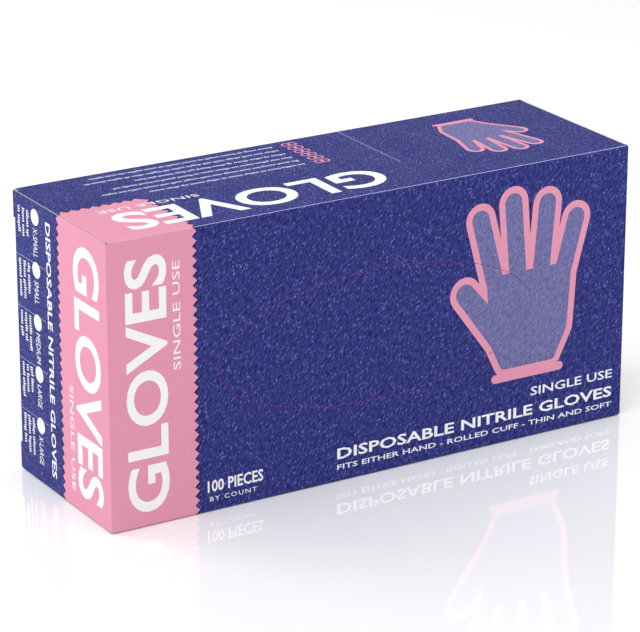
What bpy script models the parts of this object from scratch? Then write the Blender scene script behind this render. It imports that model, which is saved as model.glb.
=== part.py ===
"""Dispenser box of disposable gloves: a folding carton with a tear-out oval in its front,
a closing flap with tuck and dust flaps at each end, and a hundred flat gloves inside.

Frame: origin at the bottom centre, +X along the box, the front faces -Y, +Z up. Units are metres.
"""

import math

import bpy

# Carton, outside sizes.
LENGTH = 0.240
DEPTH = 0.078
HEIGHT = 0.118

# Board, and the play between neighbouring pieces.
BOARD = 0.0005
PLAY = 0.0003

# Places that follow from them.
END_X = LENGTH / 2
BODY_END_X = END_X - BOARD - PLAY
SIDE_Y = DEPTH / 2
INNER_Y = SIDE_Y - BOARD - PLAY
INNER_Z = BOARD + PLAY

# Tear-out oval, centred on the front panel.
OVAL_HALF_LENGTH = 0.0730
OVAL_HALF_HEIGHT = 0.0273
OVAL_SIDES = 72

# Glue flap, creased from the back panel and glued on the inside of the bottom panel.
GLUE_FLAP_WIDTH = 0.015
GLUE_FLAP_TAPER = 0.004
GLUE_FLAP_SETBACK = 0.002

# Closing panel: its free corners reach the back panel's edge, and the crease between them is inset.
SHOULDER = 0.010
CREASE_INSET = 0.0016

# Tuck flap, creased from the closing panel's free edge and leaning away from the back panel.
TUCK_AXIS_Y = SIDE_Y - 0.0008
TUCK_ROOT = 0.0008
TUCK_DEPTH = 0.0168
TUCK_LEAN = 10
TUCK_Z = (0.0125, HEIGHT - 0.0125)
TUCK_CORNER = 0.009

# Dust flaps, creased from the top and bottom panels' ends.
DUST_DEPTH = 0.035
DUST_FRONT = 0.0015
DUST_BACK = 0.0030
DUST_SLANT = 0.016
DUST_CORNER = 0.005

# Gloves lie flat on one another, fingers to the left and to the right in turn.
GLOVE_GROUPS = 25
GLOVE_FRONT_Y = -0.0305
GLOVE_BACK_Y = 0.0340
GLOVE_BASE_Z = 0.0035
GLOVE_LENGTH = 0.230
GLOVE_WIDTH = 0.1115
CUFF_WIDTH = (0.006, 0.082)
PALM_WIDTH = (0.002, 0.086)
WRIST_AT = 0.045
PALM_AT = 0.082
FINGER_WEB_AT = 0.148
FINGER_TIPS_AT = (0.204, 0.222, 0.230, 0.219)
FINGER_WIDTH = 0.0195
THUMB_BASE_AT = 0.076
THUMB_WEB_AT = 0.106
THUMB_TIP = (0.142, 0.1010)
THUMB_WIDTH = 0.021
THUMB_HEADING = 12

# How a flat piece is turned from its drawing plane: (local X runs, local Y runs).
FLAT = (0, 0, 0)
ALONG_X = (math.radians(90), 0, 0)
ALONG_Y = (math.radians(90), 0, math.radians(90))


def clear_scene():
    for item in list(bpy.data.objects):
        bpy.data.objects.remove(item, do_unlink=True)


def new_collection(name):
    collection = bpy.data.collections.new(name)
    bpy.context.scene.collection.children.link(collection)
    return collection


def new_material(name, colour, roughness):
    material = bpy.data.materials.new(name)
    material.use_nodes = True
    shader = material.node_tree.nodes["Principled BSDF"]
    shader.inputs["Base Color"].default_value = (*colour, 1.0)
    shader.inputs["Roughness"].default_value = roughness
    shader.inputs["Metallic"].default_value = 0.0
    return material


def round_corners(corners, steps=4):
    """An outline from (x, y, radius) corners, each with a radius over zero rounded by an arc."""
    points = []
    for index, (x, y, radius) in enumerate(corners):
        if radius == 0:
            points.append((x, y))
            continue
        before = corners[index - 1]
        after = corners[(index + 1) % len(corners)]
        inward = math.atan2(before[1] - y, before[0] - x)
        outward = math.atan2(after[1] - y, after[0] - x)
        turn = (outward - inward + math.pi) % (2 * math.pi) - math.pi
        middle = inward + turn / 2
        reach = radius / abs(math.sin(turn / 2))
        centre = (x + reach * math.cos(middle), y + reach * math.sin(middle))
        sweep = math.copysign(math.pi - abs(turn), turn)
        start = middle + math.pi + sweep / 2
        for step in range(steps + 1):
            angle = start - sweep * step / steps
            points.append((centre[0] + radius * math.cos(angle), centre[1] + radius * math.sin(angle)))
    return points


def rectangle(low_x, high_x, low_y, high_y):
    return [(low_x, low_y), (high_x, low_y), (high_x, high_y), (low_x, high_y)]


def ellipse(half_x, half_y, sides):
    angles = [2 * math.pi * step / sides for step in range(sides)]
    return [(half_x * math.cos(angle), half_y * math.sin(angle)) for angle in angles]


def half_round(centre, radius, heading, steps=5):
    """The round end of a digit, anticlockwise about its centre and facing the heading in degrees."""
    points = []
    for step in range(steps + 1):
        angle = math.radians(heading - 90 + 180 * step / steps)
        points.append((centre[0] + radius * math.cos(angle), centre[1] + radius * math.sin(angle)))
    return points


def sheet(name, outlines, thickness, place, turn, material, collection, hinge=None):
    """A flat piece: its outlines, with any holes, drawn about `place` and thickened both ways."""
    curve = bpy.data.curves.new(name, "CURVE")
    curve.dimensions = "2D"
    curve.fill_mode = "BOTH"
    curve.extrude = thickness / 2
    for outline in outlines:
        spline = curve.splines.new("POLY")
        spline.points.add(len(outline) - 1)
        for point, (x, y) in zip(spline.points, outline):
            point.co = (x, y, 0.0, 1.0)
        spline.use_cyclic_u = True
    curve.materials.append(material)
    piece = bpy.data.objects.new(name, curve)
    piece.location = place
    piece.rotation_euler = turn
    piece.parent = hinge
    collection.objects.link(piece)
    return piece


def new_hinge(name, place, collection, parent=None):
    """An empty on a crease's axis, which carries what turns about it."""
    hinge = bpy.data.objects.new(name, None)
    hinge.empty_display_size = 0.01
    hinge.location = place
    hinge.parent = parent
    collection.objects.link(hinge)
    return hinge


def build_sleeve(printed, bare, collection):
    """The four panels around the gloves, with the glue flap that closes them into a sleeve."""
    oval_gap = ellipse(OVAL_HALF_LENGTH, OVAL_HALF_HEIGHT, OVAL_SIDES)
    upright = rectangle(-BODY_END_X, BODY_END_X, -HEIGHT / 2, HEIGHT / 2)
    level = rectangle(-BODY_END_X, BODY_END_X, -INNER_Y, INNER_Y)
    middle_z = HEIGHT / 2
    front = (0, -SIDE_Y + BOARD / 2, middle_z)
    back = (0, SIDE_Y - BOARD / 2, middle_z)
    top = (0, 0, HEIGHT - BOARD / 2)
    bottom = (0, 0, BOARD / 2)
    sheet("front_panel", [upright, oval_gap], BOARD, front, ALONG_X, printed, collection)
    sheet("back_panel", [upright], BOARD, back, ALONG_X, printed, collection)
    sheet("top_panel", [level], BOARD, top, FLAT, printed, collection)
    sheet("bottom_panel", [level], BOARD, bottom, FLAT, printed, collection)

    root_x = BODY_END_X - GLUE_FLAP_SETBACK
    tip_x = root_x - GLUE_FLAP_TAPER
    glue_outline = [(-tip_x, -GLUE_FLAP_WIDTH), (tip_x, -GLUE_FLAP_WIDTH), (root_x, 0), (-root_x, 0)]
    glue_place = (0, INNER_Y, INNER_Z + BOARD / 2)
    sheet("glue_flap", [glue_outline], BOARD, glue_place, FLAT, bare, collection)


def build_dispensing_panel(printed, collection):
    """The oval panel, with its perforation's width free around it."""
    outline = ellipse(OVAL_HALF_LENGTH - PLAY, OVAL_HALF_HEIGHT - PLAY, OVAL_SIDES)
    place = (0, -SIDE_Y + BOARD / 2, HEIGHT / 2)
    sheet("dispensing_panel", [outline], BOARD, place, ALONG_X, printed, collection)


def build_end(side, label, printed, bare, collection):
    """One end of the carton: side is -1 on the left and +1 on the right."""
    hinge = new_hinge(label + "_end_hinge", (side * END_X, -SIDE_Y, 0), collection)
    crease_y = DEPTH - CREASE_INSET
    low_z = BOARD + PLAY
    high_z = HEIGHT - low_z
    closing = [
        (0, low_z),
        (DEPTH, low_z),
        (DEPTH, low_z + SHOULDER),
        (crease_y, low_z + SHOULDER),
        (crease_y, high_z - SHOULDER),
        (DEPTH, high_z - SHOULDER),
        (DEPTH, high_z),
        (0, high_z),
    ]
    panel_place = (-side * BOARD / 2, 0, 0)
    sheet(label + "_end_panel", [closing], BOARD, panel_place, ALONG_Y, printed, collection, hinge)
    build_tuck_flap(side, label, printed, collection, hinge)
    build_dust_flap(side, label, "upper", bare, collection)
    build_dust_flap(side, label, "lower", bare, collection)


def build_tuck_flap(side, label, printed, collection, end_hinge):
    """The tuck flap reaches into the carton, towards +X on the left and towards -X on the right."""
    place = (0, TUCK_AXIS_Y + SIDE_Y, 0)
    hinge = new_hinge(label + "_tuck_hinge", place, collection, end_hinge)
    heading = -TUCK_LEAN if side < 0 else 180 + TUCK_LEAN
    corners = [
        (TUCK_ROOT, TUCK_Z[0], 0),
        (TUCK_DEPTH, TUCK_Z[0], TUCK_CORNER),
        (TUCK_DEPTH, TUCK_Z[1], TUCK_CORNER),
        (TUCK_ROOT, TUCK_Z[1], 0),
    ]
    turn = (math.radians(90), 0, math.radians(heading))
    sheet(label + "_tuck_flap", [round_corners(corners)], BOARD, (0, 0, 0), turn, printed, collection, hinge)


def build_dust_flap(side, label, level, bare, collection):
    """A dust flap stands inside the closing panel, down from the top or up from the bottom."""
    crease_z = HEIGHT if level == "upper" else 0
    inward = -1 if level == "upper" else 1
    hinge_place = (side * BODY_END_X, 0, crease_z)
    hinge = new_hinge(label + "_" + level + "_dust_hinge", hinge_place, collection)
    front = -SIDE_Y + DUST_FRONT
    back = SIDE_Y - DUST_BACK
    corners = [
        (front, inward * INNER_Z, 0),
        (back, inward * INNER_Z, 0),
        (back, inward * DUST_DEPTH, DUST_CORNER),
        (front + DUST_SLANT, inward * DUST_DEPTH, DUST_CORNER),
        (front, inward * 3 * INNER_Z, 0),
    ]
    name = label + "_" + level + "_dust_flap"
    place = (-side * BOARD / 2, 0, 0)
    sheet(name, [round_corners(corners)], BOARD, place, ALONG_Y, bare, collection, hinge)


def glove_outline():
    """A flat glove, cuff at x = 0 and fingertips at +X, thumb on its +Y side, anticlockwise."""
    pitch = (PALM_WIDTH[1] - PALM_WIDTH[0] - FINGER_WIDTH) / (len(FINGER_TIPS_AT) - 1)
    radius = FINGER_WIDTH / 2
    points = [(0, CUFF_WIDTH[0]), (WRIST_AT, CUFF_WIDTH[0]), (PALM_AT, PALM_WIDTH[0])]
    for index, tip in enumerate(FINGER_TIPS_AT):
        middle = PALM_WIDTH[0] + radius + index * pitch
        if index > 0:
            points.append((FINGER_WEB_AT, middle - pitch / 2))
        points += half_round((tip - radius, middle), radius, 0)
    points.append((THUMB_WEB_AT, PALM_WIDTH[1]))
    points += half_round(THUMB_TIP, THUMB_WIDTH / 2, THUMB_HEADING)
    points += [(THUMB_BASE_AT, PALM_WIDTH[1]), (WRIST_AT, CUFF_WIDTH[1]), (0, CUFF_WIDTH[1])]
    return points


def build_gloves(nitrile, collection):
    """The gloves, in groups of four, each group turned over against the last."""
    pitch = (GLOVE_BACK_Y - GLOVE_FRONT_Y + PLAY) / GLOVE_GROUPS
    thickness = pitch - PLAY
    outline = glove_outline()
    for index in range(GLOVE_GROUPS):
        along = 1 if index % 2 == 0 else -1
        upward = 1 if index % 4 < 2 else -1
        points = []
        for x, y in outline:
            points.append((along * (x - GLOVE_LENGTH / 2), upward * (y - GLOVE_WIDTH / 2)))
        middle_y = GLOVE_FRONT_Y + thickness / 2 + index * pitch
        place = (0, middle_y, GLOVE_BASE_Z + GLOVE_WIDTH / 2)
        name = f"glove_group_{index + 1:02d}"
        sheet(name, [points], thickness, place, ALONG_X, nitrile, collection)


def main():
    clear_scene()
    collection = new_collection("glove_dispenser_box")
    printed = new_material("printed_board", (0.02, 0.06, 0.36), 0.35)
    bare = new_material("bare_board", (0.66, 0.62, 0.55), 0.85)
    nitrile = new_material("blue_nitrile", (0.03, 0.10, 0.55), 0.5)
    build_sleeve(printed, bare, collection)
    build_dispensing_panel(printed, collection)
    build_end(-1, "left", printed, bare, collection)
    build_end(1, "right", printed, bare, collection)
    build_gloves(nitrile, collection)


main()
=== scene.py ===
"""Looks of the glove dispenser box: the printed carton as bent boxboard, and the gloves inside it.

Layouts are drawn flat, in millimetres, the way a carton's blank is drawn. Each board is cut from
its layout, printed in flat ink areas, bent round its creases and given the board's thickness.
"""

import math

import bmesh
import bpy
import numpy as np
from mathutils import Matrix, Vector, noise
from mathutils.geometry import delaunay_2d_cdt


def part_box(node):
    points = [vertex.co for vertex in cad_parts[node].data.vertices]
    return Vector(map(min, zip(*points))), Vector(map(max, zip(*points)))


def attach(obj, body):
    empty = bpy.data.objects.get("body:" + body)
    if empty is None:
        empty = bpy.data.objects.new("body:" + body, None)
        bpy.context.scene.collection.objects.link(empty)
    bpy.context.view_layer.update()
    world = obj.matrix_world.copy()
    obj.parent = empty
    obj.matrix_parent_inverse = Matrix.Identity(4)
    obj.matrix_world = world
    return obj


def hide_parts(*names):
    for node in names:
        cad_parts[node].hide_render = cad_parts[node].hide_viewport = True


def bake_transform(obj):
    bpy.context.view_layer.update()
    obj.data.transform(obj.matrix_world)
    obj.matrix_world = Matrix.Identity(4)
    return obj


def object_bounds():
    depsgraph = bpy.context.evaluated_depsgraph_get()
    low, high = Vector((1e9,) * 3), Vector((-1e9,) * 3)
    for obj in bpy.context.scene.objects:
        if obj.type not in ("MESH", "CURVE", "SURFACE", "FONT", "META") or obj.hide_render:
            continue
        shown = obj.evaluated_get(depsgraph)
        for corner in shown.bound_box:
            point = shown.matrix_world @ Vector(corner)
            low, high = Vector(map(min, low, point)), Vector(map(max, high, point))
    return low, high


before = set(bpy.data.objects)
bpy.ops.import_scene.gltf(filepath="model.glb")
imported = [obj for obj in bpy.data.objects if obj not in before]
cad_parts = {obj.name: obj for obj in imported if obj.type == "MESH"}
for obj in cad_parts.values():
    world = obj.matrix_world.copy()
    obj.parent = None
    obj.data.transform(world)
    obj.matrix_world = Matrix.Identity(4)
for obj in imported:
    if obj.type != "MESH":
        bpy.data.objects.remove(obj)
cad_low, cad_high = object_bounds()

MM = 0.001

# Sizes of the carton, from the frame, in millimetres.
LENGTH = (cad_high.x - cad_low.x) / MM
DEPTH = (cad_high.y - cad_low.y) / MM
HEIGHT = (cad_high.z - cad_low.z) / MM
BODY_LENGTH = 2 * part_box("front_panel")[1].x / MM
BOARD = (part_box("back_panel")[1].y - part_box("back_panel")[0].y) / MM
OVAL_LOW, OVAL_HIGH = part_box("dispensing_panel")
OVAL_HALF_LENGTH = (OVAL_HIGH.x - OVAL_LOW.x) / 2 / MM + 0.3
OVAL_HALF_HEIGHT = (OVAL_HIGH.z - OVAL_LOW.z) / 2 / MM + 0.3

# Board: how tightly it bends, and in how many facets.
CREASE_RADIUS = 0.8
CREASE_FACETS = 6
END_CLEARANCE = 0.4
PERFORATION_GAP = 0.04

# Print, in millimetres on the panels.
BAND_WIDTH = 36.5
TOOTH_DEPTH = 2.0
TOOTH_PITCH = 118 / 30
TOP_BAND_DEPTH = 39.5
TOP_TOOTH_PITCH = 4.4
BAND_SHADOW = (0.5, -0.4)
END_BAND_WIDTH = 39.0
PERFORATIONS = 132
DASH_SHARE = 0.68
DASH_WIDTH = 0.30
OVAL_EVENING = 0.20
CUT_END = 0.05
NICK_REACH = 0.1
# Width of the pale line along the top front crease: partly crease wear, partly a painted highlight.
CREASE_WEAR_AND_HIGHLIGHT_WIDTH = 0.26
ROUND_STEPS = 20

# Fine print: stroke width, stroke pitch and word space, as shares of the letters' height.
STROKE_WIDTH = 0.40
STROKE_PITCH = 0.68
WORD_SPACE = 0.50

# The ink's flecks lean by this many degrees.
FLECK_LEAN = 58


# ---------------------------------------------------------------- materials

INKS = {
    "blue": (0.0290, 0.0335, 0.1720),
    "pale_line": (0.250, 0.265, 0.520),
    "pale_text": (0.560, 0.570, 0.780),
    # The pale line along the top front crease: partly crease wear, partly a painted highlight.
    "crease": (0.420, 0.430, 0.640),
    "violet": (0.140, 0.134, 0.300),
    "shadow": (0.014, 0.009, 0.066),
    "pink": (0.615, 0.252, 0.350),
    "white": (0.740, 0.735, 0.755),
    "dark_red": (0.220, 0.015, 0.060),
}
FLECKS = {"blue": 1.0, "violet": 0.5, "shadow": 0.45, "pale_line": 0.3, "pink": 0.05, "white": 0.04}


def node(tree, kind, **sockets):
    """A shader node, with its input sockets set by name."""
    made = tree.nodes.new(kind)
    for name, value in sockets.items():
        made.inputs[name.replace("_", " ")].default_value = value
    return made


def ramp(tree, source, stops):
    """A colour ramp over a value: stops are (position, colour or grey)."""
    made = tree.nodes.new("ShaderNodeValToRGB")
    elements = made.color_ramp.elements
    while len(elements) < len(stops):
        elements.new(0.5)
    for element, (position, colour) in zip(elements, stops):
        grey = isinstance(colour, (int, float))
        element.position = position
        element.color = (colour, colour, colour, 1) if grey else (*colour, 1)
    tree.links.new(source, made.inputs[0])
    return made.outputs[0]


def mixed(tree, factor, first, second, blend="MIX"):
    """Two colours mixed by a factor; each is a socket, a colour or, for the factor, a number."""
    made = tree.nodes.new("ShaderNodeMix")
    made.data_type = "RGBA"
    made.blend_type = blend
    for socket, value in ((0, factor), (6, first), (7, second)):
        if isinstance(value, bpy.types.NodeSocket):
            tree.links.new(value, made.inputs[socket])
        elif isinstance(value, tuple):
            made.inputs[socket].default_value = (*value, 1)
        else:
            made.inputs[socket].default_value = value
    return made.outputs[2]


def layout_place(tree, turn, scale, offset=(0, 0, 0)):
    """The place on the flat layout (in metres), turned, stretched and shifted."""
    uv = tree.nodes.new("ShaderNodeUVMap")
    uv.uv_map = "layout"
    mapping = tree.nodes.new("ShaderNodeMapping")
    mapping.vector_type = "TEXTURE"
    mapping.inputs["Rotation"].default_value = (0, 0, math.radians(turn))
    mapping.inputs["Scale"].default_value = tuple(1 / s for s in scale)
    mapping.inputs["Location"].default_value = offset
    tree.links.new(uv.outputs[0], mapping.inputs[0])
    return mapping.outputs[0]


def layout_noise(tree, turn, scale, detail=2.0, offset=(0, 0, 0)):
    """Noise over the flat layout: scale is in cells a metre, along and across the turned direction."""
    pattern = node(tree, "ShaderNodeTexNoise", Scale=1.0, Detail=detail, Roughness=0.55)
    tree.links.new(layout_place(tree, turn, scale, offset), pattern.inputs["Vector"])
    return pattern.outputs[0]


def layout_flecks(tree, scale):
    """The distance to the nearest of many scattered, slanting points of the flat layout."""
    pattern = node(tree, "ShaderNodeTexVoronoi", Scale=1.0, Randomness=1.0)
    tree.links.new(layout_place(tree, FLECK_LEAN, scale), pattern.inputs["Vector"])
    return pattern.outputs["Distance"]


def new_material(name):
    """A material with its node tree and its Principled shader."""
    material = bpy.data.materials.new(name)
    material.use_nodes = True
    tree = material.node_tree
    return material, tree, tree.nodes["Principled BSDF"]


def ink_material(name):
    """Printed and varnished board: the leather-like print's mottling and slanting pale flecks."""
    colour = INKS[name]
    amount = FLECKS.get(name, 0.0)
    material, tree, shader = new_material("ink_" + name)
    pale = tuple(min(0.9, c * 1.5 + extra) for c, extra in zip(colour, (0.19, 0.23, 0.40)))
    deep = tuple(c * (1 - 0.50 * amount) for c in colour)
    light = tuple(c * (1 + 0.30 * amount) for c in colour)
    mottle = ramp(tree, layout_noise(tree, FLECK_LEAN, (420, 1400, 1)), [(0.40, 0.0), (0.60, 1.0)])
    ground = mixed(tree, mottle, deep, light)
    flecks = ramp(tree, layout_flecks(tree, (400, 1500, 1)), [(0.08, 1.0), (0.27, 0.0)])
    patches = ramp(tree, layout_noise(tree, FLECK_LEAN, (160, 260, 1), 1.0, (3, 7, 0)),
                   [(0.30, 0.25 * amount), (0.62, 1.00 * amount)])
    shown = mixed(tree, 1.0, flecks, patches, "MULTIPLY")
    result = mixed(tree, shown, ground, pale)
    tree.links.new(result, shader.inputs["Base Color"])
    rough = ramp(tree, layout_noise(tree, 0, (60, 60, 1), 3.0), [(0.3, 0.42), (0.7, 0.54)])
    tree.links.new(rough, shader.inputs["Roughness"])
    bump = node(tree, "ShaderNodeBump", Strength=0.10, Distance=0.00004)
    tree.links.new(layout_noise(tree, 10, (900, 900, 1), 3.0, (1, 2, 0)), bump.inputs["Height"])
    tree.links.new(bump.outputs[0], shader.inputs["Normal"])
    shader.inputs["Specular IOR Level"].default_value = 0.04
    return material


def board_material(name, dark, light):
    """Unprinted boxboard: grey-white, with pulp fibres and specks."""
    material, tree, shader = new_material(name)
    pulp = ramp(tree, layout_noise(tree, 20, (260, 800, 1), 4.0), [(0.30, dark), (0.72, light)])
    specks = ramp(tree, layout_noise(tree, 0, (1500, 1500, 1), 0.0, (5, 1, 0)), [(0.74, 0.0), (0.82, 0.35)])
    tree.links.new(mixed(tree, specks, pulp, (0.30, 0.28, 0.25)), shader.inputs["Base Color"])
    shader.inputs["Roughness"].default_value = 0.88
    bump = node(tree, "ShaderNodeBump", Strength=0.10, Distance=0.00004)
    tree.links.new(layout_noise(tree, 20, (900, 2400, 1), 3.0), bump.inputs["Height"])
    tree.links.new(bump.outputs[0], shader.inputs["Normal"])
    return material


def nitrile_material():
    """Deep blue nitrile film: satin, faintly mottled where it is thin, with puckers and a fine skin."""
    material, tree, shader = new_material("blue_nitrile")
    place = tree.nodes.new("ShaderNodeTexCoord")
    cloud = node(tree, "ShaderNodeTexNoise", Scale=38.0, Detail=4.0, Roughness=0.6)
    tree.links.new(place.outputs["Object"], cloud.inputs["Vector"])
    tint = ramp(tree, cloud.outputs[0], [(0.32, (0.018, 0.050, 0.300)), (0.70, (0.036, 0.090, 0.430))])
    tree.links.new(tint, shader.inputs["Base Color"])
    rough = ramp(tree, cloud.outputs[0], [(0.3, 0.28), (0.7, 0.42)])
    tree.links.new(rough, shader.inputs["Roughness"])
    pucker = node(tree, "ShaderNodeTexNoise", Scale=95.0, Detail=3.0, Roughness=0.5, Distortion=1.6)
    grain = node(tree, "ShaderNodeTexNoise", Scale=1400.0, Detail=2.0)
    for pattern in (pucker, grain):
        tree.links.new(place.outputs["Object"], pattern.inputs["Vector"])
    folds = node(tree, "ShaderNodeBump", Strength=0.45, Distance=0.0012)
    tree.links.new(pucker.outputs[0], folds.inputs["Height"])
    skin = node(tree, "ShaderNodeBump", Strength=0.18, Distance=0.00008)
    tree.links.new(grain.outputs[0], skin.inputs["Height"])
    tree.links.new(folds.outputs[0], skin.inputs["Normal"])
    tree.links.new(skin.outputs[0], shader.inputs["Normal"])
    shader.inputs["Subsurface Weight"].default_value = 0.06
    shader.inputs["Subsurface Radius"].default_value = (0.0004, 0.0006, 0.0020)
    shader.inputs["Sheen Weight"].default_value = 0.15
    return material


MATERIALS = {name: ink_material(name) for name in INKS}
MATERIALS["bare"] = board_material("bare_board", (0.560, 0.535, 0.480), (0.650, 0.630, 0.580))
MATERIALS["edge"] = board_material("cut_edge", (0.300, 0.290, 0.300), (0.420, 0.410, 0.420))
NITRILE = nitrile_material()


# ---------------------------------------------------------------- flat shapes

def rectangle(low_x, low_y, high_x, high_y):
    """A rectangle's corners, anticlockwise."""
    return [(low_x, low_y), (high_x, low_y), (high_x, high_y), (low_x, high_y)]


def ellipse(centre, half_x, half_y, steps):
    """Points round an ellipse, anticlockwise."""
    turns = [2 * math.pi * step / steps for step in range(steps)]
    return [(centre[0] + half_x * math.cos(a), centre[1] + half_y * math.sin(a)) for a in turns]


def arc(centre, radius, start, end, steps):
    """Points along an arc, from one angle to another in degrees."""
    turns = [math.radians(start + (end - start) * step / steps) for step in range(steps + 1)]
    return [(centre[0] + radius * math.cos(a), centre[1] + radius * math.sin(a)) for a in turns]


def ring(centre, radius, width):
    """A ring as quadrilaterals."""
    outer = ellipse(centre, radius, radius, ROUND_STEPS)
    inner = ellipse(centre, radius - width, radius - width, ROUND_STEPS)
    count = len(outer)
    return [[outer[i], outer[(i + 1) % count], inner[(i + 1) % count], inner[i]] for i in range(count)]


def hull(points):
    """The convex outline round the points, anticlockwise."""
    ordered = sorted(set(points))
    halves = []
    for sequence in (ordered, ordered[::-1]):
        chain = []
        for x, y in sequence:
            while len(chain) > 1:
                (x0, y0), (x1, y1) = chain[-2:]
                if (x1 - x0) * (y - y0) - (y1 - y0) * (x - x0) > 1e-9:
                    break
                chain.pop()
            chain.append((x, y))
        halves.append(chain[:-1])
    return halves[0] + halves[1]


def round_hull(circles, grow=0.0):
    """The convex outline round circles (x, y, radius), each grown by the same amount."""
    points = []
    for x, y, radius in circles:
        points += ellipse((x, y), radius + grow, radius + grow, ROUND_STEPS)
    return hull([(round(x, 5), round(y, 5)) for x, y in points])


def placed(shapes, origin, turn=0.0, scale=1.0):
    """The shapes scaled, turned anticlockwise by degrees, and moved to the origin."""
    cos = math.cos(math.radians(turn)) * scale
    sin = math.sin(math.radians(turn)) * scale
    return [
        [(origin[0] + x * cos - y * sin, origin[1] + x * sin + y * cos) for x, y in shape]
        for shape in shapes
    ]


def lettering(text, height, length=None, spread=0.0, weight=0.0):
    """Letters as filled faces, capitals `height` tall, from (0, 0); scaled to `length` if given.

    A weight widens the strokes, which fills in the built-in font's M, so a line with one has none.
    """
    curve = bpy.data.curves.new("lettering", "FONT")
    curve.body = text
    curve.size = 1.0
    curve.space_character = 1.0 + spread
    curve.offset = weight
    curve.resolution_u = 5 if height > 8 else 2
    holder = bpy.data.objects.new("lettering", curve)
    bpy.context.scene.collection.objects.link(holder)
    bpy.context.view_layer.update()
    mesh = bpy.data.meshes.new_from_object(holder.evaluated_get(bpy.context.evaluated_depsgraph_get()))
    faces = [[tuple(mesh.vertices[i].co.xy) for i in face.vertices] for face in mesh.polygons]
    bpy.data.objects.remove(holder)
    bpy.data.curves.remove(curve)
    bpy.data.meshes.remove(mesh)
    xs = [x for face in faces for x, _ in face]
    ys = [y for face in faces for _, y in face]
    low_x, low_y = min(xs), min(ys)
    tall = height / (max(ys) - low_y)
    wide = length / (max(xs) - low_x) if length else tall
    return [[((x - low_x) * wide, (y - low_y) * tall) for x, y in face] for face in faces]


def fine_print(length, height, seed):
    """A line of print too fine to read: upright strokes of letter height, gathered in words."""
    strokes = []
    x = 0.0
    index = 0
    while x < length - 3 * height:
        letters = 3 + int(6 * abs(math.sin(seed * 12.9898 + index * 4.1414)))
        for letter in range(letters):
            pick = int(8 * abs(math.sin(seed * 3.7 + index * 9.1 + letter * 5.3)))
            rise = 1.4 * height if pick in (1, 5) else height
            drop = 0.4 * height if pick == 3 else 0.0
            strokes.append(rectangle(x, -drop, x + STROKE_WIDTH * height, rise))
            x += STROKE_PITCH * height
        x += WORD_SPACE * height
        index += 1
    return strokes


# ---------------------------------------------------------------- bent board

def make_fold(corners, along, sign):
    """How a flat board bends: returns fold(s, t, depth) and the crease places along s.

    The board's outer face follows the corners, rounded; t runs along the creases, and depth
    goes in from the outer face. The sign says on which side of the path the outside is.
    """
    points = [Vector(corner) for corner in corners]
    along = Vector(along)
    legs = [(b - a).normalized() for a, b in zip(points, points[1:])]
    outs = [sign * along.cross(leg) for leg in legs]
    places = [0.0]
    for a, b in zip(points, points[1:]):
        places.append(places[-1] + (b - a).length)
    turns = [before.angle(after) for before, after in zip(legs, legs[1:])]
    reaches = [CREASE_RADIUS * math.tan(turn / 2) for turn in turns]

    def fold(s, t, depth):
        for index, (turn, reach) in enumerate(zip(turns, reaches)):
            place = places[index + 1]
            if abs(s - place) < reach:
                angle = turn * (s - place + reach) / (2 * reach)
                out, leg = outs[index], legs[index]
                normal = out * math.cos(angle) + leg * math.sin(angle)
                centre = points[index + 1] - leg * reach - out * CREASE_RADIUS
                return centre + normal * (CREASE_RADIUS - depth) + along * t
        index = 0
        while index < len(legs) - 1 and s > places[index + 1]:
            index += 1
        return points[index] + legs[index] * (s - places[index]) - outs[index] * depth + along * t

    creases = []
    for place, reach in zip(places[1:-1], reaches):
        creases += [place + reach * (2 * step / CREASE_FACETS - 1) for step in range(CREASE_FACETS + 1)]
    return fold, creases


def inside(places, shape):
    """Which of the places (an array of x, y) lie inside the shape."""
    corners = np.array(shape)
    low, high = corners.min(0), corners.max(0)
    near = np.nonzero(((places >= low) & (places <= high)).all(1))[0]
    x, y = places[near, 0], places[near, 1]
    odd = np.zeros(len(near), bool)
    for (x0, y0), (x1, y1) in zip(corners, np.roll(corners, -1, 0)):
        spans = (y0 > y) != (y1 > y)
        if y0 != y1:
            odd ^= spans & (x < x0 + (x1 - x0) * (y - y0) / (y1 - y0))
    found = np.zeros(len(places), bool)
    found[near[odd]] = True
    return found


def within(places, shapes):
    """Which of the places lie inside any of the shapes."""
    found = np.zeros(len(places), bool)
    for shape in shapes:
        found |= inside(places, shape)
    return found


def cut_and_print(outline, holes, layers, lines):
    """Triangles of a flat board, each with its ink.

    Layers are (ink, shapes, shapes it is cut out of or None), the last on top. Lines are extra
    edges. Returns points and (triangle, ink) pairs.
    """
    points, edges = [], []
    shapes = [outline, *holes]
    for _, drawn, cuts in layers:
        shapes += list(drawn) + list(cuts or [])
    for shape in shapes:
        start, count = len(points), len(shape)
        points.extend(Vector(p) for p in shape)
        edges += [(start + i, start + (i + 1) % count) for i in range(count)]
    for a, b in lines:
        edges.append((len(points), len(points) + 1))
        points.extend((Vector(a), Vector(b)))
    flat, _, triangles = delaunay_2d_cdt(points, edges, [], 0, 1e-4, False)[:3]
    places = np.array([[sum(flat[i][axis] for i in t) / 3 for axis in (0, 1)] for t in triangles])
    kept = inside(places, outline) & ~within(places, holes)
    inks = np.full(len(triangles), "blue", object)
    for ink, drawn, cuts in layers:
        covered = within(places, drawn)
        if cuts:
            covered &= ~within(places, cuts)
        inks[covered] = ink
    return flat, [(t, ink) for t, ink, keep in zip(triangles, inks, kept) if keep]


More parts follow.
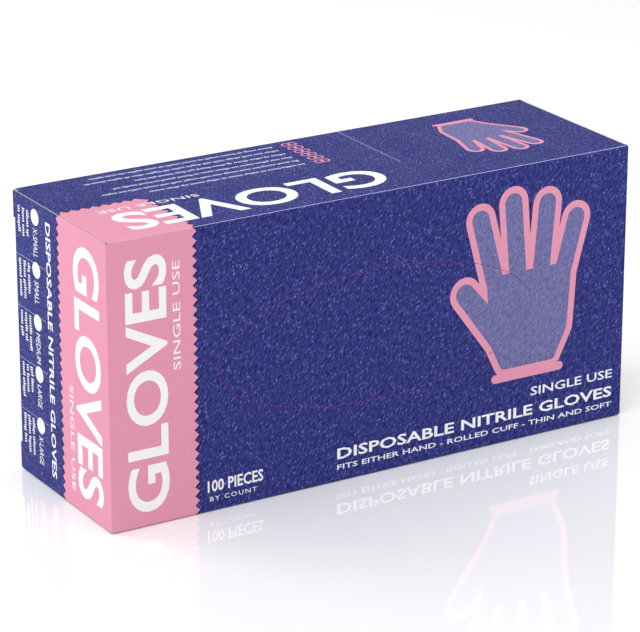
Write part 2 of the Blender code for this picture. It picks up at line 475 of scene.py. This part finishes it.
def board(name, outline, holes, layers, fold, lines=()):
    """A board of the real thickness: printed outside, bare inside and on its cut edges."""
    flat, triangles = cut_and_print(outline, holes, layers, lines)
    used = sorted({ink for _, ink in triangles} | {"bare", "edge"})
    mesh = bpy.data.meshes.new(name)
    for ink in used:
        mesh.materials.append(MATERIALS[ink])
    bm = bmesh.new()
    layout = bm.loops.layers.uv.new("layout")
    kept = sorted({i for triangle, _ in triangles for i in triangle})
    outer = {i: bm.verts.new(fold(*flat[i], 0.0) * MM) for i in kept}
    inner = {i: bm.verts.new(fold(*flat[i], BOARD) * MM) for i in kept}
    places = {}
    for side in (outer, inner):
        for i, vert in side.items():
            places[vert] = flat[i] * MM
    rims = set()
    for triangle, ink in triangles:
        face = bm.faces.new([outer[i] for i in triangle])
        face.material_index = used.index(ink)
        face = bm.faces.new([inner[i] for i in reversed(triangle)])
        face.material_index = used.index("bare")
        for a, b in zip(triangle, triangle[1:] + triangle[:1]):
            if (b, a) in rims:
                rims.remove((b, a))
            else:
                rims.add((a, b))
    for a, b in sorted(rims):
        face = bm.faces.new([outer[b], outer[a], inner[a], inner[b]])
        face.material_index = used.index("edge")
    for face in bm.faces:
        for loop in face.loops:
            loop[layout].uv = places[loop.vert]
    bmesh.ops.recalc_face_normals(bm, faces=bm.faces)
    bm.to_mesh(mesh)
    bm.free()
    piece = bpy.data.objects.new(name, mesh)
    bpy.context.scene.collection.objects.link(piece)
    return piece


# ---------------------------------------------------------------- print: shapes

def toothed_edge(start, end, pitch, depth):
    """Points along a pinked edge from start to end, with teeth standing to the right of it."""
    start, end = Vector(start), Vector(end)
    run = end - start
    count = max(1, round(run.length / pitch))
    step = run / count
    out = Vector((run.y, -run.x)).normalized() * depth
    points = []
    for index in range(count):
        points.append(tuple(start + step * index))
        points.append(tuple(start + step * (index + 0.5) + out))
    points.append(tuple(end))
    return points


# The glove pictogram, in units of its fingers' pitch, upright with its wrist's middle at (0, 0).
# It is a plain sign of even proportions; lengths run from the index finger to the little finger.
SIGN_FINGER_LENGTHS = (2.75, 3.10, 2.85, 2.15)
SIGN_FINGER_RADIUS = 0.38
SIGN_FAN = 10.0
SIGN_KNUCKLE_Y = 3.3
SIGN_PALM_HEEL = (1.25, 1.20, 0.50)
SIGN_WRIST = (1.05, 0.10, 0.20)
SIGN_THUMB_TIP = (-2.85, 3.20, 0.40)
SIGN_CUFF = (1.45, -0.42, 0.17)
SIGN_LINE = 0.27


def both_sides(circle):
    """A circle (x, y, radius) and its mirror image in the upright axis."""
    x, y, radius = circle
    return [(-x, y, radius), (x, y, radius)]


def glove_sign():
    """The pictogram's layers: a filled glove with an even outline, over the bar of its rolled cuff."""
    fingers = []
    for index, length in enumerate(SIGN_FINGER_LENGTHS):
        x = index - (len(SIGN_FINGER_LENGTHS) - 1) / 2
        turn = math.radians(SIGN_FAN * x)
        tip = (x + length * math.sin(turn), SIGN_KNUCKLE_Y + length * math.cos(turn))
        fingers.append([(x, SIGN_KNUCKLE_Y, SIGN_FINGER_RADIUS), (*tip, SIGN_FINGER_RADIUS)])
    palm = [fingers[0][0], fingers[-1][0], *both_sides(SIGN_PALM_HEEL)]
    wrist = both_sides(SIGN_PALM_HEEL) + both_sides(SIGN_WRIST)
    thumb = [both_sides(SIGN_PALM_HEEL)[0], SIGN_THUMB_TIP]
    parts = [*fingers, palm, wrist, thumb]
    inner = [round_hull(part) for part in parts]
    outer = [round_hull(part, SIGN_LINE) for part in parts]
    return [
        ("violet", inner, None),
        ("pink", outer, inner),
        ("pink", [round_hull(both_sides(SIGN_CUFF))], None),
    ]


def moved_layers(layers, origin, turn, scale=1.0):
    """Print layers scaled, turned by degrees, and moved to the origin."""
    return [
        (ink, placed(shapes, origin, turn, scale), placed(cuts, origin, turn, scale) if cuts else None)
        for ink, shapes, cuts in layers
    ]


def around_oval(half_x, half_y, place):
    """The point at a place along the oval's outline, from 0 to 1, and the direction outwards."""
    # Even steps of the angle would crowd at the oval's ends; this shift evens out their lengths.
    turn = 2 * math.pi * place
    angle = turn - OVAL_EVENING * math.sin(2 * turn)
    point = Vector((half_x * math.cos(angle), half_y * math.sin(angle)))
    outward = Vector((math.cos(angle) / half_x, math.sin(angle) / half_y)).normalized()
    return point, outward


def perforated_oval(centre, gap):
    """The oval's cut outline: `gap` wide in each cut, and closing almost to nothing at each nick."""
    cut = ((0.0, NICK_REACH), (CUT_END, 1.0), (DASH_SHARE, 1.0), (DASH_SHARE + CUT_END, NICK_REACH))
    outline = []
    for index in range(PERFORATIONS):
        for share, reach in cut:
            place = (index + share) / PERFORATIONS
            point, outward = around_oval(OVAL_HALF_LENGTH, OVAL_HALF_HEIGHT, place)
            outline.append(tuple(Vector(centre) + point + outward * gap * reach))
    return outline


def oval_dashes(centre):
    """The dashes printed along the perforation."""
    dashes = []
    for index in range(PERFORATIONS):
        ends = []
        for share in (0.08, DASH_SHARE - 0.03):
            place = (index + share) / PERFORATIONS
            point, outward = around_oval(OVAL_HALF_LENGTH, OVAL_HALF_HEIGHT, place)
            ends.append([Vector(centre) + point + outward * DASH_WIDTH / 2 * way for way in (-1, 1)])
        corners = ends[0] + ends[1][::-1]
        dashes.append([tuple(corner) for corner in corners])
    return dashes


# ---------------------------------------------------------------- print: panels

# Where the sign stands on the panels, and how large; then the end's sizes with their printed lengths.
FRONT_SIGN = (192.0, 33.0)
FRONT_SIGN_PITCH = 10.9
TOP_SIGN = (44.0, 17.0)
TOP_SIGN_PITCH = 6.2
SIZES = (("X-SMALL", 12.0), ("SMALL", 9.5), ("MEDIUM", 12.5), ("LARGE", 9.5), ("X-LARGE", 12.0))


def front_print():
    """The front panel's layers, x from its left end and y up, in millimetres."""
    title = lettering("GLOVES", 18.0, 104.0, weight=0.02)
    subtitle = lettering("SINGLE USE", 3.2, 44.0)
    count = lettering("100 PIECES", 5.0, 25.0, weight=0.02)
    count_note = lettering("BY COUNT", 1.9, 21.0, spread=0.25)
    line_1 = lettering("SINGLE USE", 3.8, 41.0, weight=0.01)
    line_2 = lettering("DISPOSABLE NITRILE GLOVES", 4.7, 134.0, weight=0.02)
    line_3 = lettering("FITS EITHER HAND - ROLLED CUFF - THIN AND SOFT", 2.2, 134.0, weight=0.01)
    right = LENGTH - 5
    layers = moved_layers(glove_sign(), FRONT_SIGN, 0, FRONT_SIGN_PITCH)
    layers += [
        ("white", placed(title, (25.3, 6.0), 90), None),
        ("white", placed(subtitle, (31.0, 62.0), 90), None),
        ("white", placed(count, (42.0, 8.0)), None),
        ("white", placed(count_note, (43.0, 4.2)), None),
        ("white", placed(line_1, (right - 41.0, 17.8)), None),
        ("white", placed(line_2, (right - 134.0, 9.4)), None),
        ("white", placed(line_3, (right - 134.0, 4.9)), None),
    ]
    return layers


def top_print():
    """The top panel's layers as read from behind: x from the reader's left, y from the back edge."""
    title = lettering("GLOVES", 21.0, 118.0, weight=0.02)
    subtitle = lettering("SINGLE USE", 3.2, 44.0)
    layers = moved_layers(glove_sign(), TOP_SIGN, 0, TOP_SIGN_PITCH)
    layers += [
        ("white", placed(title, (LENGTH - 133, DEPTH - 28.5)), None),
        ("white", placed(subtitle, (LENGTH - 58, DEPTH - 34.8)), None),
        ("pale_line", [rectangle(LENGTH - 148.3, 0.0, LENGTH - 147.9, 49.0)], None),
    ]
    for row in range(6):
        low = 5.0 + row * 5.2
        line = fine_print(82.0 + 10.0 * math.sin(row * 2.1), 1.25, 3 + row)
        layers.append(("pale_text", placed(line, (LENGTH - 114.0, low)), None))
        layers.append(("pink", ring((LENGTH - 120.5, low + 0.8), 2.1, 0.7), None))
        layers.append(("pink", ring((LENGTH - 123.4, low + 0.8), 2.1, 0.7), None))
    return layers


def end_print():
    """An end panel's layers, x from the reader's left and y up."""
    band_x = DEPTH - END_BAND_WIDTH
    edge = toothed_edge((band_x, HEIGHT), (band_x, 0.0), TOOTH_PITCH, TOOTH_DEPTH)
    band = [(DEPTH, 0.0), (DEPTH, HEIGHT)] + edge
    title = lettering("GLOVES", 21.0, 104.0, weight=0.02)
    subtitle = lettering("SINGLE USE", 3.0, 44.0)
    heading = lettering("DISPOSABLE NITRILE GLOVES", 4.0, 106.0, weight=0.02)
    layers = [
        ("shadow", placed([band], (-BAND_SHADOW[0], BAND_SHADOW[1])), None),
        ("pink", [band], None),
        ("white", placed(title, (50.4, HEIGHT - 7.0), -90), None),
        ("white", placed(subtitle, (44.8, HEIGHT - 67.0), -90), None),
        ("white", placed(heading, (27.6, HEIGHT - 6.0), -90), None),
    ]
    pitch = 21.7
    for row, (size, length) in enumerate(SIZES):
        top = HEIGHT - 4.1 - row * pitch
        if row > 0:
            layers.append(("pale_line", [rectangle(0, top - 0.15, 26, top + 0.15)], None))
        layers.append(("white", [ellipse((18.7, top - 2.6), 3.35, 3.35, ROUND_STEPS)], None))
        layers.append(("white", placed(lettering(size, 3.6, length), (16.8, top - 7.2), -90), None))
        for line in range(3):
            print_line = fine_print(14.0, 1.5, 20 + 3 * row + line)
            layers.append(("white", placed(print_line, (11.4 - 3.7 * line, top - 1.5), -90), None))
    return layers


# ---------------------------------------------------------------- carton

HALF = BODY_LENGTH / 2
SIDE = DEPTH / 2
SEAM_RISE = BOARD + 0.05

# Where each panel starts along the blank, from the bottom panel's free edge.
FRONT_S = DEPTH - 0.1
TOP_S = FRONT_S + HEIGHT
BACK_S = TOP_S + DEPTH
GLUE_S = BACK_S + HEIGHT - SEAM_RISE
GLUE_END_S = GLUE_S + 15.0

# End panel: where its slit shoulders end and its free edge is creased, from the front crease.
SHOULDER = 11.2
TUCK_CREASE = DEPTH - 0.55
CORNER_CUT = 0.6
HINGE_EASE = 0.3

# Tuck flap: a short root in the end panel's plane, then the flap, leaning from the back panel.
TUCK_ROOT = 2.0
TUCK_BEND = 0.95
TUCK_REACH = 16.8
TUCK_LEAN = 10
TUCK_CORNER = 9.0
TUCK_PLAY = 0.4
CORNER_STEPS = 8

# Dust flap: a short root in the top or bottom panel's plane, then the flap, slanted at the front.
DUST_ROOT = 4.0
DUST_DEPTH = 35.0
DUST_FRONT = 1.5
DUST_BACK = 3.0
DUST_SLANT = 17.5


def sleeve():
    """Bottom, front, top and back panels and the glue flap: one board, bent round four creases."""
    corners = [
        (0, SIDE - 0.1, 0),
        (0, -SIDE, 0),
        (0, -SIDE, HEIGHT),
        (0, SIDE, HEIGHT),
        (0, SIDE, SEAM_RISE),
        (0, SIDE - 15.0, SEAM_RISE),
    ]
    path, creases = make_fold(corners, (1, 0, 0), 1)

    def fold(x, s, depth):
        return path(s, x, depth)

    notch = HALF - CREASE_RADIUS
    edge = [
        (HALF, 0.0),
        (HALF, 2.9),
        (notch, 2.9),
        (notch, FRONT_S - 1.5),
        (HALF, FRONT_S - 1.5),
        (HALF, TOP_S + 1.5),
        (notch, TOP_S + 1.5),
        (notch, BACK_S - 3.0),
        (HALF, BACK_S - 3.0),
        (HALF, GLUE_S),
        (HALF - 2.5, GLUE_S + 1.0),
        (HALF - 6.0, GLUE_END_S),
    ]
    outline = edge + [(-x, s) for x, s in reversed(edge)]
    oval = (0, FRONT_S + HEIGHT / 2)
    hole = perforated_oval(oval, PERFORATION_GAP)
    left = -LENGTH / 2
    band_x = left + BAND_WIDTH
    band_top = TOP_S + TOP_BAND_DEPTH
    band_low = FRONT_S - TOP_BAND_DEPTH
    band = toothed_edge((left, band_low), (band_x, band_low), TOP_TOOTH_PITCH, TOOTH_DEPTH)
    band += toothed_edge((band_x, band_low), (band_x, band_top), TOOTH_PITCH, TOOTH_DEPTH)[1:]
    band += toothed_edge((band_x, band_top), (left, band_top), TOP_TOOTH_PITCH, TOOTH_DEPTH)[1:]
    back_x = -band_x
    back_band = toothed_edge((back_x, GLUE_S + 0.8), (back_x, BACK_S), TOOTH_PITCH, TOOTH_DEPTH)
    back_band = [(-left, BACK_S), (-left, GLUE_S + 0.8)] + back_band
    back_shadow = (-BAND_SHADOW[0], -BAND_SHADOW[1])
    layers = [
        ("shadow", placed([band], BAND_SHADOW) + placed([back_band], back_shadow), None),
        ("pink", [band, back_band], None),
    ]
    layers += moved_layers(front_print(), (left, FRONT_S), 0)
    layers += moved_layers(top_print(), (-left, BACK_S), 180)
    layers += moved_layers(front_print(), (-left, BACK_S + HEIGHT), 180)
    layers.append(("dark_red", oval_dashes(oval), None))
    # A pale line painted along the top front crease only: partly crease wear, partly a painted highlight
    # where the rounded crease catches the light.
    crease_wear_and_highlight = rectangle(-notch, TOP_S - CREASE_WEAR_AND_HIGHLIGHT_WIDTH / 2, notch, TOP_S + CREASE_WEAR_AND_HIGHLIGHT_WIDTH / 2)
    layers.append(("crease", [crease_wear_and_highlight], None))
    lines = [((-LENGTH, s), (LENGTH, s)) for s in creases]
    piece = board("carton_sleeve", outline, [hole], layers, fold, lines)
    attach(piece, "carton")
    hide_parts("front_panel", "top_panel", "back_panel", "bottom_panel", "glue_flap")


def dispensing_panel():
    """The tear-out oval, cut from the same print as the front panel."""
    def fold(x, z, depth):
        return Vector((x, -SIDE + depth, z))

    centre = (0, HEIGHT / 2)
    outline = perforated_oval(centre, -PERFORATION_GAP)
    layers = moved_layers(front_print(), (-LENGTH / 2, 0), 0)
    layers.append(("dark_red", oval_dashes(centre), None))
    piece = board("oval_panel", outline, [], layers, fold)
    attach(piece, "dispensing_panel")
    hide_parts("dispensing_panel")


def end_panels(side, label):
    """A closing panel with its crease at the front, its tuck flap and its two dust flaps."""
    hinge_x = side * LENGTH / 2
    inner_x = side * HALF
    path, creases = make_fold(
        [(inner_x, -SIDE, 0), (hinge_x, -SIDE, 0), (hinge_x, SIDE, 0)], (0, 0, 1), -side
    )
    start = LENGTH / 2 - HALF

    # The reader's left is the back edge on the left end and the front crease on the right end.
    def fold(x, z, depth):
        reach = DEPTH - x if side < 0 else x
        return path(reach + start, z, depth)

    def reader_x(reach):
        return DEPTH - reach if side < 0 else reach

    low, high = END_CLEARANCE, HEIGHT - END_CLEARANCE
    tuck_start = TUCK_CREASE - TUCK_BEND
    outline = [
        (reader_x(-start), low + HINGE_EASE),
        (reader_x(CREASE_RADIUS), low + HINGE_EASE),
        (reader_x(CREASE_RADIUS), low),
        (reader_x(DEPTH - CORNER_CUT), low),
        (reader_x(DEPTH), low + CORNER_CUT),
        (reader_x(DEPTH), low + SHOULDER),
        (reader_x(tuck_start), low + SHOULDER),
        (reader_x(tuck_start), high - SHOULDER),
        (reader_x(DEPTH), high - SHOULDER),
        (reader_x(DEPTH), high - CORNER_CUT),
        (reader_x(DEPTH - CORNER_CUT), high),
        (reader_x(CREASE_RADIUS), high),
        (reader_x(CREASE_RADIUS), high - HINGE_EASE),
        (reader_x(-start), high - HINGE_EASE),
    ]
    lines = [((reader_x(s - start), -10), (reader_x(s - start), HEIGHT + 10)) for s in creases]
    layers = end_print()
    if side < 0:
        # The front's pink band reaches round the crease.
        layers.insert(0, ("pink", [rectangle(DEPTH, 0, DEPTH + 2, HEIGHT)], None))
    piece = board(label + "_end_board", outline, [], layers, fold, lines)
    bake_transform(piece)
    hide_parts(label + "_end_panel")
    tuck_flap(side, label, hinge_x, TUCK_CREASE - SIDE)
    for level in ("upper", "lower"):
        dust_flap(side, label, level)


def tuck_flap(side, label, hinge_x, crease_y):
    """The flap on the end panel's free edge, tucked inside the back panel, with two round corners."""
    lean = math.radians(TUCK_LEAN)
    tip = (hinge_x - side * TUCK_REACH * math.cos(lean), crease_y - TUCK_REACH * math.sin(lean), 0)
    path = [(hinge_x, crease_y - TUCK_ROOT, 0), (hinge_x, crease_y, 0), tip]
    fold, creases = make_fold(path, (0, 0, 1), -side)
    low = SHOULDER + END_CLEARANCE + TUCK_PLAY
    high = HEIGHT - low
    first = TUCK_ROOT - TUCK_BEND
    last = TUCK_ROOT + TUCK_REACH
    corner_s = last - TUCK_CORNER
    outline = [(first, low)]
    outline += arc((corner_s, low + TUCK_CORNER), TUCK_CORNER, -90, 0, CORNER_STEPS)
    outline += arc((corner_s, high - TUCK_CORNER), TUCK_CORNER, 0, 90, CORNER_STEPS)
    outline.append((first, high))
    lines = [((s, -10), (s, HEIGHT + 10)) for s in creases]
    layers = [("pink", [rectangle(0, 0, 5, HEIGHT)], None)] if side > 0 else []
    piece = board(label + "_tuck_board", outline, [], layers, fold, lines)
    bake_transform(piece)
    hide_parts(label + "_tuck_flap")


def dust_flap(side, label, level):
    """A dust flap, bent down from the top panel's end or up from the bottom panel's."""
    crease_z = HEIGHT if level == "upper" else 0.0
    inward = -1 if level == "upper" else 1
    edge_x = side * HALF
    path = [
        (edge_x - side * DUST_ROOT, 0, crease_z),
        (edge_x, 0, crease_z),
        (edge_x, 0, crease_z + inward * DUST_DEPTH),
    ]
    fold, creases = make_fold(path, (0, 1, 0), side * inward)
    first = DUST_ROOT - CREASE_RADIUS
    last = DUST_ROOT + DUST_DEPTH
    front, back = -SIDE + DUST_FRONT, SIDE - DUST_BACK
    outline = [
        (first, front),
        (6.4, front),
        (last - 2.0, front + DUST_SLANT - 2.9),
        (last, front + DUST_SLANT),
        (last, back - 5.0),
        (last - 1.5, back - 1.5),
        (last - 5.0, back),
        (first, back),
    ]
    lines = [((s, -LENGTH), (s, LENGTH)) for s in creases]
    # The print ends a little past the crease; the rest of the flap is bare.
    layers = [("bare", [rectangle(10, -60, 60, 60)], None)]
    if side < 0:
        layers.insert(0, ("pink", [rectangle(0, -SIDE - 1, 10, -SIDE + TOP_BAND_DEPTH)], None))
    piece = board(f"{label}_{level}_dust_board", outline, [], layers, fold, lines)
    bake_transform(piece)
    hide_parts(f"{label}_{level}_dust_flap")


# ---------------------------------------------------------------- gloves

# A flat glove, in millimetres: cuff at x = 0, fingertips to +X, thumb on its +Y side.
GLOVE_GROUPS = 25
GLOVES_PER_GROUP = 4
GLOVE_LENGTH = 230.0
GLOVE_WIDTH = 111.5
GLOVE_LOW_Z = 3.5
GLOVE_FRONT_Y = -27.0
GLOVE_PITCH = 0.61
GLOVE_THICKNESS = 0.36
CUFF_BEAD = 0.10
CUFF_MOUTH = 3.0
CUFF_LOW_Y = 6.0
CUFF_HIGH_Y = 82.0
CUFF_TAPER = 0.96
FINGER_TIPS = (204.0, 222.0, 230.0, 219.0)
FINGER_WIDTH = 19.5
FINGER_PITCH = 21.5
FINGER_LOW_Y = 2.0
WEB_AT = 148.0
WEB_RADIUS = 0.9
THUMB_TIP = (142.0, 101.0)
THUMB_RADIUS = 10.5
THUMB_HEADING = 12
FINE_GROUPS = 2
FINE_GRID = 2.6
COARSE_GRID = 10.0
ROW_SHARE = 0.87
EDGE_SHARE = 0.8
LEAST_AREA = 0.0001
FRONT_SPACE = 1.0
WAVE_FRONT = 2.6
WAVE_BACK = 0.3
WRINKLE_REACH = 7.0
WRINKLE_FADE = 0.42


def glove_outline():
    """The outline anticlockwise, beginning with the cuff's two ends, upper then lower."""
    points = [(0.0, CUFF_HIGH_Y), (0.0, CUFF_LOW_Y)]
    points += [(24.0, 6.2), (45.0, 6.0), (66.0, 3.6), (84.0, FINGER_LOW_Y)]
    points += [(110.0, FINGER_LOW_Y), (140.0, FINGER_LOW_Y)]
    radius = FINGER_WIDTH / 2
    for index, tip in enumerate(FINGER_TIPS):
        middle = FINGER_LOW_Y + radius + index * FINGER_PITCH
        if index > 0:
            web = (WEB_AT + WEB_RADIUS, middle - FINGER_PITCH / 2)
            points += arc(web, WEB_RADIUS, 270, 90, 6)
        points += [(150.0 + (tip - 160.0) * share, middle - radius) for share in (0.25, 0.5, 0.75)]
        points += arc((tip - radius, middle), radius, -90, 90, 12)
        points += [(150.0 + (tip - 160.0) * share, middle + radius) for share in (0.75, 0.5, 0.25)]
    points += [(142.0, 86.0), (124.0, 85.4), (112.0, 85.6), (108.6, 87.4)]
    points += arc(THUMB_TIP, THUMB_RADIUS, THUMB_HEADING - 90, THUMB_HEADING + 90, 10)
    points += [(118.0, 107.0), (98.0, 100.0), (80.0, 89.5), (68.0, 84.6), (45.0, 82.0), (22.0, 81.8)]
    return points


def evened(outline, reach):
    """The outline with its long edges split evenly, so that none is longer than the reach."""
    points = []
    for start, end in zip(outline, outline[1:] + outline[:1]):
        steps = math.ceil(math.dist(start, end) / reach)
        for step in range(steps):
            share = step / steps
            points.append(tuple(a + (b - a) * share for a, b in zip(start, end)))
    return points


def glove_triangles(grid):
    """A flat glove's points and triangles; the outline comes first, then a staggered grid."""
    outline = evened(glove_outline(), EDGE_SHARE * grid)
    border = np.array(outline)
    points = [Vector(point) for point in outline]
    edges = [(i, (i + 1) % len(outline)) for i in range(len(outline))]
    rows = int(GLOVE_WIDTH / (grid * ROW_SHARE)) + 1
    columns = int(GLOVE_LENGTH / grid) + 1
    # A quarter step keeps the grid off the cuff's edge, which it would split.
    places = [
        (grid * (column + 0.25 + 0.5 * (row % 2)), grid * ROW_SHARE * row)
        for row in range(rows)
        for column in range(columns)
    ]
    covered = inside(np.array(places), outline)
    for place, keep in zip(places, covered):
        if keep and np.hypot(*(border - place).T).min() > 0.5 * grid:
            points.append(Vector(place))
    flat, _, triangles = delaunay_2d_cdt(points, edges, [], 0, 1e-4, False)[:3]
    corners = np.array([[tuple(flat[i]) for i in t] for t in triangles])
    first, second = corners[:, 1] - corners[:, 0], corners[:, 2] - corners[:, 0]
    areas = abs(first[:, 0] * second[:, 1] - first[:, 1] * second[:, 0]) / 2
    kept = inside(corners.mean(1), outline) & (areas > LEAST_AREA)
    return outline, flat, [t for t, keep in zip(triangles, kept) if keep]


def stack_shape(x, z, depth_share):
    """How far the stack bulges to the front at a place, deeper gloves less: always forward."""
    slow = noise.noise(Vector((x / 95.0, z / 60.0, 4.0)))
    slow += 0.35 * noise.noise(Vector((x / 42.0, z / 36.0, 9.0)))
    bulge = 0.5 + 0.5 * math.tanh(1.8 * slow)
    reach = WAVE_FRONT + (WAVE_BACK - WAVE_FRONT) * depth_share
    return reach * bulge


def ridge(x, y, seed):
    """A sharp-crested ridge pattern, from 0 to 1."""
    return max(0.0, 1 - 4.5 * abs(noise.noise(Vector((x, y, seed))))) ** 1.6


def wrinkle(x, z):
    """Folds of the front gloves' film, from 0 to 1: narrow crests, wide hollows, and fine puckers."""
    bend = 16.0 * noise.noise(Vector((x / 55.0, z / 55.0, 2.0)))
    long_folds = ridge((x + 0.9 * z + bend) / 46.0, (z - 0.6 * x) / 110.0, 7.0)
    cross_folds = ridge((x - 0.7 * z) / 90.0, (z + 0.5 * x + bend) / 34.0, 1.0)
    puckers = ridge((x + 1.6 * z) / 13.0, (z - x + bend) / 30.0, 3.0)
    return 0.50 * long_folds + 0.34 * cross_folds + 0.16 * puckers


def glove_place(index):
    """Where a glove of the stack lies: how it is turned over, shifted and skewed."""
    group = index // GLOVES_PER_GROUP
    along = 1 if group % 2 == 0 else -1
    upward = 1 if group % 4 < 2 else -1
    shift_x = 1.4 * math.sin(index * 2.399)
    shift_z = 0.5 * math.sin(index * 1.711 + 1.0)
    skew = math.radians(0.5) * math.sin(index * 3.117 + 2.0)
    return along, upward, shift_x, shift_z, skew


def add_glove(bm, index, outline, flat, triangles):
    """One glove: two skins joined round the edge, with an open, beaded mouth at the cuff."""
    along, upward, shift_x, shift_z, skew = glove_place(index)
    share = index / (GLOVE_GROUPS * GLOVES_PER_GROUP - 1)
    fold_reach = WRINKLE_REACH * (1.0 - WRINKLE_FADE * index / GLOVES_PER_GROUP)
    spare = max(0.0, FRONT_SPACE * (1 - index / GLOVES_PER_GROUP))
    base_y = GLOVE_FRONT_Y + GLOVE_PITCH * (index + 0.5) - spare

    def place(x, y, off):
        local_x, local_y = x - GLOVE_LENGTH / 2, y - GLOVE_WIDTH / 2
        world_x = along * (local_x - skew * local_y) + shift_x * (1 - 0.5 * abs(local_x) / 115.0)
        world_z = GLOVE_LOW_Z + GLOVE_WIDTH / 2 + upward * (local_y + skew * local_x) + shift_z
        world_y = base_y - stack_shape(world_x, world_z, share)
        if fold_reach > 0:
            world_y -= fold_reach * wrinkle(world_x, world_z)
        return bm.verts.new(Vector((world_x, world_y + off, world_z)) * MM)

    def half(x):
        bead = CUFF_BEAD * max(0.0, 1 - x / 1.5)
        return GLOVE_THICKNESS / 2 + bead

    near = [place(x, y, -half(x)) for x, y in flat]
    far = [place(x, y, half(x)) for x, y in flat]
    flipped = along * upward < 0
    for triangle in triangles:
        a, b, c = triangle[::-1] if flipped else triangle
        bm.faces.new([near[a], near[b], near[c]])
        bm.faces.new([far[c], far[b], far[a]])
    count = len(outline)
    cuff_y = (CUFF_LOW_Y + CUFF_HIGH_Y) / 2
    middle = []
    for i, (x, y) in enumerate(outline):
        before, after = outline[i - 1], outline[(i + 1) % count]
        run = Vector((after[0] - before[0], after[1] - before[1])).normalized()
        if x == 0.0:
            middle.append(place(x + CUFF_MOUTH, cuff_y + (y - cuff_y) * CUFF_TAPER, 0))
        else:
            middle.append(place(x + run.y * GLOVE_THICKNESS * 0.4, y - run.x * GLOVE_THICKNESS * 0.4, 0))
    for i in range(count):
        j = (i + 1) % count
        if flipped:
            i, j = j, i
        bm.faces.new([near[j], near[i], middle[i], middle[j]])
        bm.faces.new([middle[j], middle[i], far[i], far[j]])


def gloves():
    """A hundred gloves in the carton, in the CAD's groups of four."""
    shapes = {grid: glove_triangles(grid) for grid in (FINE_GRID, COARSE_GRID)}
    for group in range(GLOVE_GROUPS):
        bm = bmesh.new()
        shape = shapes[FINE_GRID if group < FINE_GROUPS else COARSE_GRID]
        for glove in range(GLOVES_PER_GROUP):
            add_glove(bm, group * GLOVES_PER_GROUP + glove, *shape)
        bmesh.ops.recalc_face_normals(bm, faces=bm.faces)
        name = f"gloves_{group + 1:02d}"
        mesh = bpy.data.meshes.new(name)
        bm.to_mesh(mesh)
        bm.free()
        mesh.shade_smooth()
        mesh.materials.append(NITRILE)
        piece = bpy.data.objects.new(name, mesh)
        bpy.context.scene.collection.objects.link(piece)
        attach(piece, "carton")
        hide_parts(f"glove_group_{group + 1:02d}")


# ---------------------------------------------------------------- stage

def area_light(name, place, target, size, power):
    """A soft rectangular light, aimed at a target: metres and watts."""
    light = bpy.data.lights.new(name, "AREA")
    light.shape = "RECTANGLE"
    light.size, light.size_y = size
    light.energy = power
    holder = bpy.data.objects.new(name, light)
    holder.location = place
    holder.rotation_euler = (Vector(target) - Vector(place)).to_track_quat("-Z", "Y").to_euler()
    bpy.context.scene.collection.objects.link(holder)


def build_stage():
    """A pale glossy floor, a white surround and four soft lights."""
    bpy.ops.mesh.primitive_plane_add(size=8.0, location=(0, 0, -0.0002))
    floor = bpy.context.object
    floor.name = "floor"
    material, _, shader = new_material("pale_floor")
    shader.inputs["Base Color"].default_value = (0.88, 0.88, 0.885, 1)
    shader.inputs["Roughness"].default_value = 0.04
    shader.inputs["IOR"].default_value = 2.1
    floor.data.materials.append(material)
    world = bpy.data.worlds.new("studio")
    bpy.context.scene.world = world
    world.use_nodes = True
    background = world.node_tree.nodes["Background"]
    background.inputs["Color"].default_value = (1.0, 1.0, 1.0, 1)
    background.inputs["Strength"].default_value = 0.90
    area_light("key", (-0.7, -0.4, 1.4), (0, 0, 0.06), (1.0, 1.0), 9)
    area_light("fill", (0.5, -1.6, 0.8), (0, 0, 0.06), (0.8, 0.8), 6)
    area_light("rim", (-0.85, 0.9, 0.35), (-0.12, 0, 0.06), (0.7, 0.5), 9)
    area_light("corner", (0.21, -0.17, 0.21), (0.12, -0.04, 0.11), (0.08, 0.08), 0.08)
    bpy.context.scene.view_settings.view_transform = "Standard"


CAMERA_PLACE = (-0.6507, -1.0680, 0.5101)
CAMERA_AZIMUTH = -31.22
CAMERA_ELEVATION = 20.02
CAMERA_LENS = 184.9


def build_camera():
    """A long lens from the front left, a little above the box."""
    camera = bpy.data.cameras.new("camera")
    camera.sensor_width = 36
    camera.lens = CAMERA_LENS
    holder = bpy.data.objects.new("camera", camera)
    holder.location = CAMERA_PLACE
    azimuth, elevation = math.radians(CAMERA_AZIMUTH), math.radians(CAMERA_ELEVATION)
    back = Vector((
        math.sin(azimuth) * math.cos(elevation),
        -math.cos(azimuth) * math.cos(elevation),
        math.sin(elevation),
    ))
    holder.rotation_euler = (-back).to_track_quat("-Z", "Y").to_euler()
    bpy.context.scene.collection.objects.link(holder)
    bpy.context.scene.camera = holder


sleeve()
dispensing_panel()
end_panels(-1, "left")
end_panels(1, "right")
gloves()
build_stage()
build_camera()
